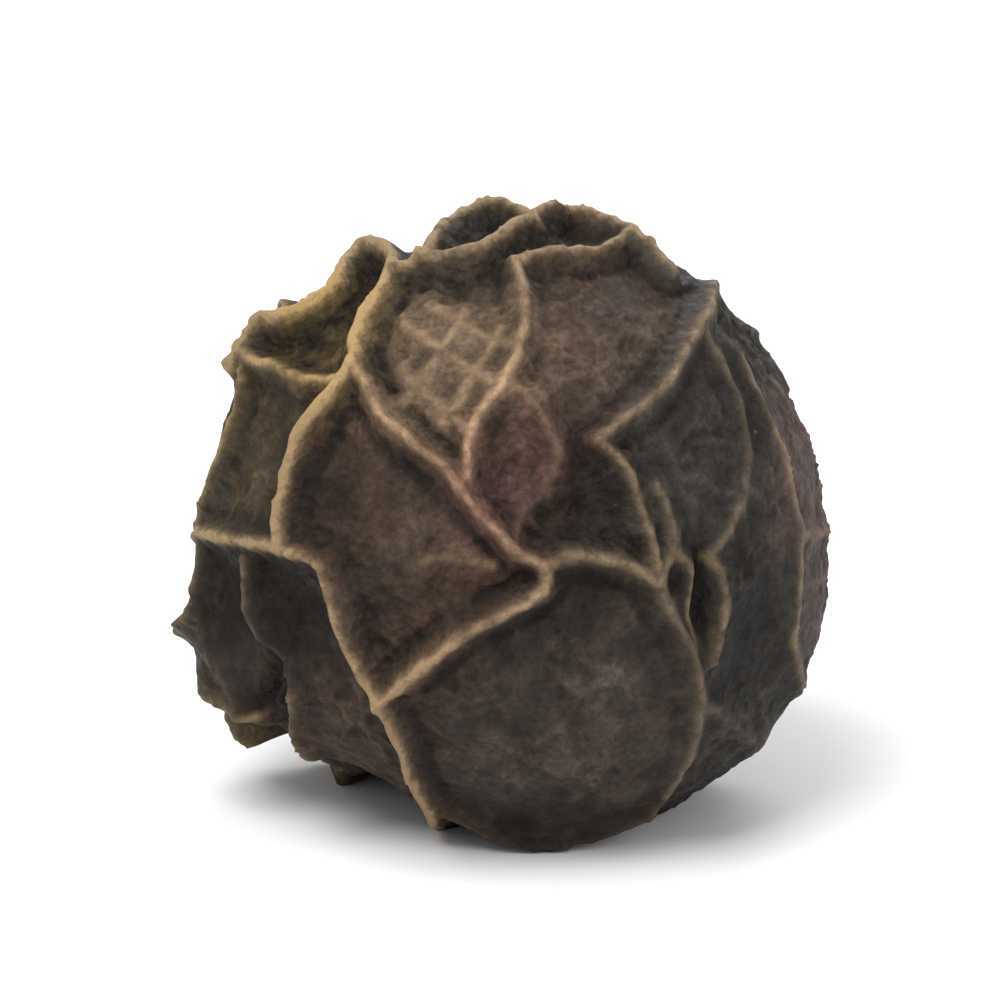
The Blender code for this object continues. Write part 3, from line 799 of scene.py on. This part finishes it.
below = np.arccos(np.clip(-directions[:, 2], -1, 1))
relief *= 1 - CALM_SHARE * bell(below, CALM_ANGLE)
radii = even_radii + relief
for facing in KNOTS_FACE:
    knot = np.array((
        math.sin(KNOT_LEAN) * math.cos(facing),
        math.sin(KNOT_LEAN) * math.sin(facing),
        -math.cos(KNOT_LEAN),
    ))
    missing = REST_UNDER_MIDDLE / math.cos(KNOT_LEAN) - radii[(directions @ knot).argmax()]
    radii += missing * bump(directions, knot, KNOT_HALF_WIDTH)
points = directions * radii[:, None]
points[:, 2] = np.maximum(points[:, 2], -REST_UNDER_MIDDLE)
lowest, highest = points.min(axis=0), points.max(axis=0)
points = (points - lowest) / (highest - lowest) * size + np.array(low)
for vertex, place in zip(skin.verts, points):
    vertex.co = place
print("the skin measures", ((points.max(axis=0) - points.min(axis=0)) / MM).round(2), "mm")

# %% [markdown]
# ## Tints of the dried skin
#
# Sun drying turns the green skin brown to nearly black, but never evenly. The tints are written
# as they would be picked on a screen, in sRGB, and one function turns them into the linear
# values that the shader works in.

# %% Tints
def linear(hex_colour):
    """The linear red, green and blue of an sRGB colour such as "5a4636"."""
    parts = [int(hex_colour[i:i + 2], 16) / 255 for i in (0, 2, 4)]
    return [part / 12.92 if part <= 0.04045 else ((part + 0.055) / 1.055) ** 2.4 for part in parts]


TINTS = {
    "slate": "292521",
    "umber": "402f23",
    "taupe": "66523f",
    "plum": "6b423e",
    "rosy": "4a3934",
    "char": "2c251d",
    "russet": "453428",
    "olive": "41331a",
    "gold": "5d4a20",
    "dun": "392f27",
}

tint = nearness @ np.array([linear(TINTS[name]) for name in cell_tints])
print("the average tint in linear values is", tint.mean(axis=0).round(3))

# %% [markdown]
# ## Stains and painted shade
#
# Some places dried nearly black, whatever their cell. Others get painted shade, darkened where
# shade falls: the bottom of a hollow, the ring round a bulging cell, the lower edge and the right
# side. They are laid one by one, like the net. Besides, the skin is painted darker towards the
# bottom, as shade on the underside.

# %% Lay the stains
# Each stain or patch of painted shade: where its middle lies across and up, how far it reaches
# across and up, all in millimetres as seen, and how dark it is.
STAINS_AND_SHADE = (
    (0.50, -0.66, 0.50, 0.22, 0.75),
    (1.12, -1.00, 0.16, 0.55, 0.6),
    (0.00, -1.10, 0.20, 0.50, 0.35),
    (0.35, -2.32, 1.10, 0.42, 1.0),
    (1.72, -0.72, 0.45, 0.60, 0.75),
    (0.60, 0.28, 0.28, 0.28, 0.45),
    (-0.02, 0.12, 0.16, 0.20, 0.5),
    (-0.62, 0.10, 0.16, 0.40, 0.35),
    (-1.38, 0.35, 0.16, 0.45, 0.7),
    (-0.80, -0.60, 0.45, 0.28, 0.45),
    (-2.10, -0.50, 0.42, 0.50, 0.95),
    (-1.95, -1.32, 0.16, 0.28, 0.9),
    (-0.90, 1.22, 0.12, 0.20, 0.6),
    (2.35, -0.75, 0.20, 0.60, 0.3),
    (1.85, 1.45, 0.30, 0.50, 0.35),
    (-0.20, 2.18, 0.20, 0.12, 0.8),
)
DARK_PATCH_EDGE = 0.25 * MM
DARK_PATCH_EDGE_LENGTH = 0.4 * MM
DARK_PATCHES_FADE_BEHIND = (-0.4, 0.1)
# The underside is painted darker towards the bottom, as painted shade: how dark, and how far up it
# reaches.
UNDERSIDE_SHADE = 0.55
UNDERSIDE_SHADE_REACH = 1.2 * MM

in_front = smooth_step(directions @ seen_direction(0, 0), *DARK_PATCHES_FADE_BEHIND)
ragged = directions * RADIUS + DARK_PATCH_EDGE * bending(directions * RADIUS, DARK_PATCH_EDGE_LENGTH)
up_axis = np.array((0, math.sin(VIEW_TILT), math.cos(VIEW_TILT)))
seen_across = ragged[:, 0] * SEEN_HALF_WIDTH / RADIUS
seen_up = ragged @ up_axis * SEEN_HALF_HEIGHT / RADIUS
stain_and_shade_mask = np.zeros(len(directions))
for across, up, reach_across, reach_up, darkness in STAINS_AND_SHADE:
    away = np.hypot((seen_across / MM - across) / reach_across, (seen_up / MM - up) / reach_up)
    stain_and_shade_mask = np.maximum(stain_and_shade_mask, darkness * in_front * bell(away, 1.0))
# Painted shade on the underside: darker towards the bottom of the berry.
above_underside = (points[:, 2] + ragged[:, 2] - directions[:, 2] * RADIUS) / UNDERSIDE_SHADE_REACH
stain_and_shade_mask = np.maximum(stain_and_shade_mask, UNDERSIDE_SHADE * (1 - smooth_step(above_underside, 0.0, 1.0)))
print("stains darken the skin by", round(100 * stain_and_shade_mask.mean()), "% on average")

# %% [markdown]
# ## What the material needs to know
#
# The shader can't tell a crest from a hollow by itself, so the mesh carries that along: each
# point stores its tint, how worn it is, how much painted shade it gets for lying deep beside a
# fold, in a cleft or on a sunk floor, how much stain and painted shade it has, and its small
# relief. Such values are called attributes, and an Attribute node reads them.

# %% Store the attributes and make the object
# Painted shade in the hollows: how dark the gutters and the sunk floors are painted.
GUTTER_SHADE = 0.9
SUNK_FLOOR_SHADE = 0.6
DEEPEST_FLOOR = 0.22 * MM

mesh = bpy.data.meshes.new("peppercorn_skin")
skin.to_mesh(mesh)
skin.free()
# Painted shade: the gutters, the dips beside the folds, the clefts and the sunk floors are darkened.
hollow_shade = GUTTER_SHADE * gutter + dip / DIP_DEPTH + cleft + SUNK_FLOOR_SHADE * sunk / DEEPEST_FLOOR
hollow_shade = np.clip(hollow_shade, 0, 1)
mesh.attributes.new("small", "FLOAT", "POINT").data.foreach_set("value", small / WRINKLE)
mesh.attributes.new("worn", "FLOAT", "POINT").data.foreach_set("value", worn)
mesh.attributes.new("hollow_shade", "FLOAT", "POINT").data.foreach_set("value", hollow_shade)
mesh.attributes.new("stain_and_shade_mask", "FLOAT", "POINT").data.foreach_set("value", stain_and_shade_mask)
rgba = np.column_stack([tint, np.ones(len(tint))])
mesh.attributes.new("tint", "FLOAT_COLOR", "POINT").data.foreach_set("color", rgba.ravel())
mesh.shade_smooth()
skin_object = bpy.data.objects.new("dried_skin", mesh)
bpy.context.scene.collection.objects.link(skin_object)
print("the mesh carries", ", ".join(attribute.name for attribute in mesh.attributes))

# %% [markdown]
# ## The material
#
# Dried fruit skin is matt, with a faint oily sheen on what stands out. Its colour starts as the
# cell's tint. Broad patches, small blotches and a fine speckle make it lighter and darker by a
# share, which keeps the tint, and painted light and shade follow the small relief. Then come the
# black stains with painted shade, painted shade in the hollows, the pale crests, and single flecks
# of dust.

# %% A helper for nodes
def add(tree, kind, inputs=(), **settings):
    """Adds a node with its settings, and fills its inputs with values or links."""
    made = tree.nodes.new(kind)
    for name, value in settings.items():
        setattr(made, name, value)
    for socket, value in dict(inputs).items():
        if isinstance(value, bpy.types.NodeSocket):
            tree.links.new(value, made.inputs[socket])
        else:
            made.inputs[socket].default_value = value
    return made


def colour(hex_colour):
    """The colour as a node's input takes it."""
    return (*linear(hex_colour), 1.0)


# %% Start the material and read the attributes
material = bpy.data.materials.new("sun_dried_pepper_skin")
material.use_nodes = True
tree = material.node_tree
shader = tree.nodes["Principled BSDF"]
where = add(tree, "ShaderNodeTexCoord").outputs["Object"]
tint_in = add(tree, "ShaderNodeAttribute", attribute_name="tint").outputs["Color"]
worn_in = add(tree, "ShaderNodeAttribute", attribute_name="worn").outputs["Fac"]
hollow_shade_in = add(tree, "ShaderNodeAttribute", attribute_name="hollow_shade").outputs["Fac"]
stain_and_shade_in = add(tree, "ShaderNodeAttribute", attribute_name="stain_and_shade_mask").outputs["Fac"]
small_in = add(tree, "ShaderNodeAttribute", attribute_name="small").outputs["Fac"]
print("the material starts with", len(tree.nodes), "nodes")

# %% Short names for what the colour needs
MOTTLE_ROUGHNESS = 0.6

# Nearly all of a noise's values lie between these two.
MOTTLE_START = 0.36
MOTTLE_END = 0.64


def mottle(size, detail, low, high, seed, start=MOTTLE_START, end=MOTTLE_END):
    """A noise of the given size in millimetres: low up to the start value, high from the end on."""
    field = add(tree, "ShaderNodeTexNoise", {
        "Vector": where, "W": seed, "Scale": 1 / (size * MM), "Detail": detail,
        "Roughness": MOTTLE_ROUGHNESS,
    }, noise_dimensions="4D").outputs["Fac"]
    return stretched(field, start, end, low, high)


def stretched(value, start, end, low, high):
    """A value mapped from its range between start and end to a range from low to high."""
    return add(tree, "ShaderNodeMapRange", {
        "Value": value, "From Min": start, "From Max": end, "To Min": low, "To Max": high,
    }).outputs["Result"]


def times(first, second):
    """Two values multiplied."""
    return add(tree, "ShaderNodeMath", {0: first, 1: second}, operation="MULTIPLY").outputs[0]


def mixed(share, first, second):
    """Two colours mixed by a share."""
    return add(tree, "ShaderNodeMix", {0: share, 6: first, 7: second}, data_type="RGBA").outputs[2]


def lit(base, factor):
    """A colour made lighter or darker by a factor."""
    return add(tree, "ShaderNodeVectorMath", {0: base, "Scale": factor}, operation="SCALE").outputs[0]


# %% [markdown]
# ## From the tint to the bare crest
#
# Each step below takes the colour of the step before and changes it in some places only. The
# skin dried unevenly, painted light and shade follow the small relief, stains and painted shade
# darken some places and the underside, painted shade darkens the hollows, rubbing bared the
# crests, and dust settled last. In nodes that is one long chain, so each link gets a name, and
# the order of the chain can be read off.

# %% Uneven colour between the folds
# Each mottle here and below: its size in millimetres, its detail, its least and its greatest
# value, a seed, and the noise values where its rise starts and ends, if not the common ones.
PATCHES = (1.0, 2, 0.8, 1.25, 1.0)
GREY_PATCHES = (0.7, 3, 0.0, 0.32, 2.0)
GREY = "3b3a36"
BLOTCHES = (0.22, 4, 0.7, 1.35, 3.0)
SPECKLE = (0.045, 3, 0.72, 1.3, 10.0)

# From which small relief to which, in heights of a wrinkle, and the factors at the two ends.
# This is painted shade where the small relief sinks and painted light where it stands out.
RELIEF_LIGHT_AND_SHADE = (-0.5, 0.9, 0.55, 1.65)

patchy = lit(tint_in, mottle(*PATCHES))
greyed = mixed(mottle(*GREY_PATCHES), patchy, colour(GREY))
blotched = lit(greyed, mottle(*BLOTCHES))
speckled = lit(blotched, mottle(*SPECKLE))
# Painted light and shade: lighter where the small relief stands out, darker where it sinks.
relief_lit_and_shaded = lit(speckled, stretched(small_in, *RELIEF_LIGHT_AND_SHADE))

# %% Stains and painted shade
STAIN_AND_SHADE_COLOUR = "0f0c09"
STAIN_AND_SHADE_MOTTLE = (0.3, 3, 0.7, 1.0, 9.0)
# Painted shade in the hollows, a near-black colour, mottled so that it isn't even.
HOLLOW_SHADE_COLOUR = "140e0a"
HOLLOW_SHADE_MOTTLE = (0.13, 3, 0.6, 1.0, 11.0)

# Stains, and painted shade on the lower edge, the right side and the underside.
stains_and_shade = mixed(times(stain_and_shade_in, mottle(*STAIN_AND_SHADE_MOTTLE)), relief_lit_and_shaded, colour(STAIN_AND_SHADE_COLOUR))
hollows_shaded = mixed(times(hollow_shade_in, mottle(*HOLLOW_SHADE_MOTTLE)), stains_and_shade, colour(HOLLOW_SHADE_COLOUR))

# %% Rubbed crests
# The wear is spotty, and comes and goes along a fold. A bared crest keeps half of its cell's tint.
WEAR_SPOTS = (0.10, 3, 0.45, 1.3, 4.0)
WEAR_STRETCHES = (0.5, 2, 0.7, 1.2, 8.0, 0.42, 0.58)
CREST_COLOUR = "b59a74"
CREST_PALER = 3.2
CREST_SHARE = 0.5

crest = mixed(CREST_SHARE, lit(tint_in, CREST_PALER), colour(CREST_COLOUR))
rubbed = times(times(worn_in, mottle(*WEAR_SPOTS)), mottle(*WEAR_STRETCHES))
crested = mixed(rubbed, hollows_shaded, crest)

# %% Flecks of dust
FLECKS = (0.045, 2, 0.0, 0.35, 5.0, 0.68, 0.74)
FLECKED_PLACES = (0.8, 3, 0.0, 1.0, 6.0, 0.5, 0.62)
DUST = "8a7a66"

dusty = mixed(times(mottle(*FLECKS), mottle(*FLECKED_PLACES)), crested, colour(DUST))
tree.links.new(dusty, shader.inputs["Base Color"])
print("the colour takes", len(tree.nodes), "nodes")

# %% [markdown]
# ## The surface up close
#
# Dried skin is uneven far below what the mesh can show. Noise makes it duller in one place than in
# the next, and a bump, which bends the light without moving the surface, gives it grain and pores.

# %% Gloss, grain and pores
SKIN_GLOSS = 0.2
SKIN_ROUGHNESS = (0.2, 3, 0.46, 0.72, 7.0)
GRAIN_SIZE = 0.05 * MM
GRAIN_DETAIL = 6.0
GRAIN_ROUGHNESS = 0.72
PORES_APART = 0.075 * MM
PORE_DEPTH = 0.026 * MM

shader.inputs["Specular IOR Level"].default_value = SKIN_GLOSS
tree.links.new(mottle(*SKIN_ROUGHNESS), shader.inputs["Roughness"])
grain = add(tree, "ShaderNodeTexNoise", {
    "Vector": where, "Scale": 1 / GRAIN_SIZE, "Detail": GRAIN_DETAIL, "Roughness": GRAIN_ROUGHNESS,
}).outputs["Fac"]
pores = add(tree, "ShaderNodeTexVoronoi", {
    "Vector": where, "Scale": 1 / PORES_APART, "Randomness": 1.0,
}).outputs["Distance"]
rough = add(tree, "ShaderNodeMath", {0: pores, 1: grain}, operation="ADD").outputs[0]
dented = add(tree, "ShaderNodeBump", {"Strength": 1.0, "Distance": PORE_DEPTH, "Height": rough})
tree.links.new(dented.outputs["Normal"], shader.inputs["Normal"])
mesh.materials.append(material)
print("with the grain it takes", len(tree.nodes))

# %% [markdown]
# ## In place of the solid
#
# The skin rides on the solid's body and stands in for it in every picture, so the solid itself
# isn't shown. The two boxes are written down to show that they are equally large.

# %% Put the skin on the berry
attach(skin_object, "root")
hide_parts("peppercorn")
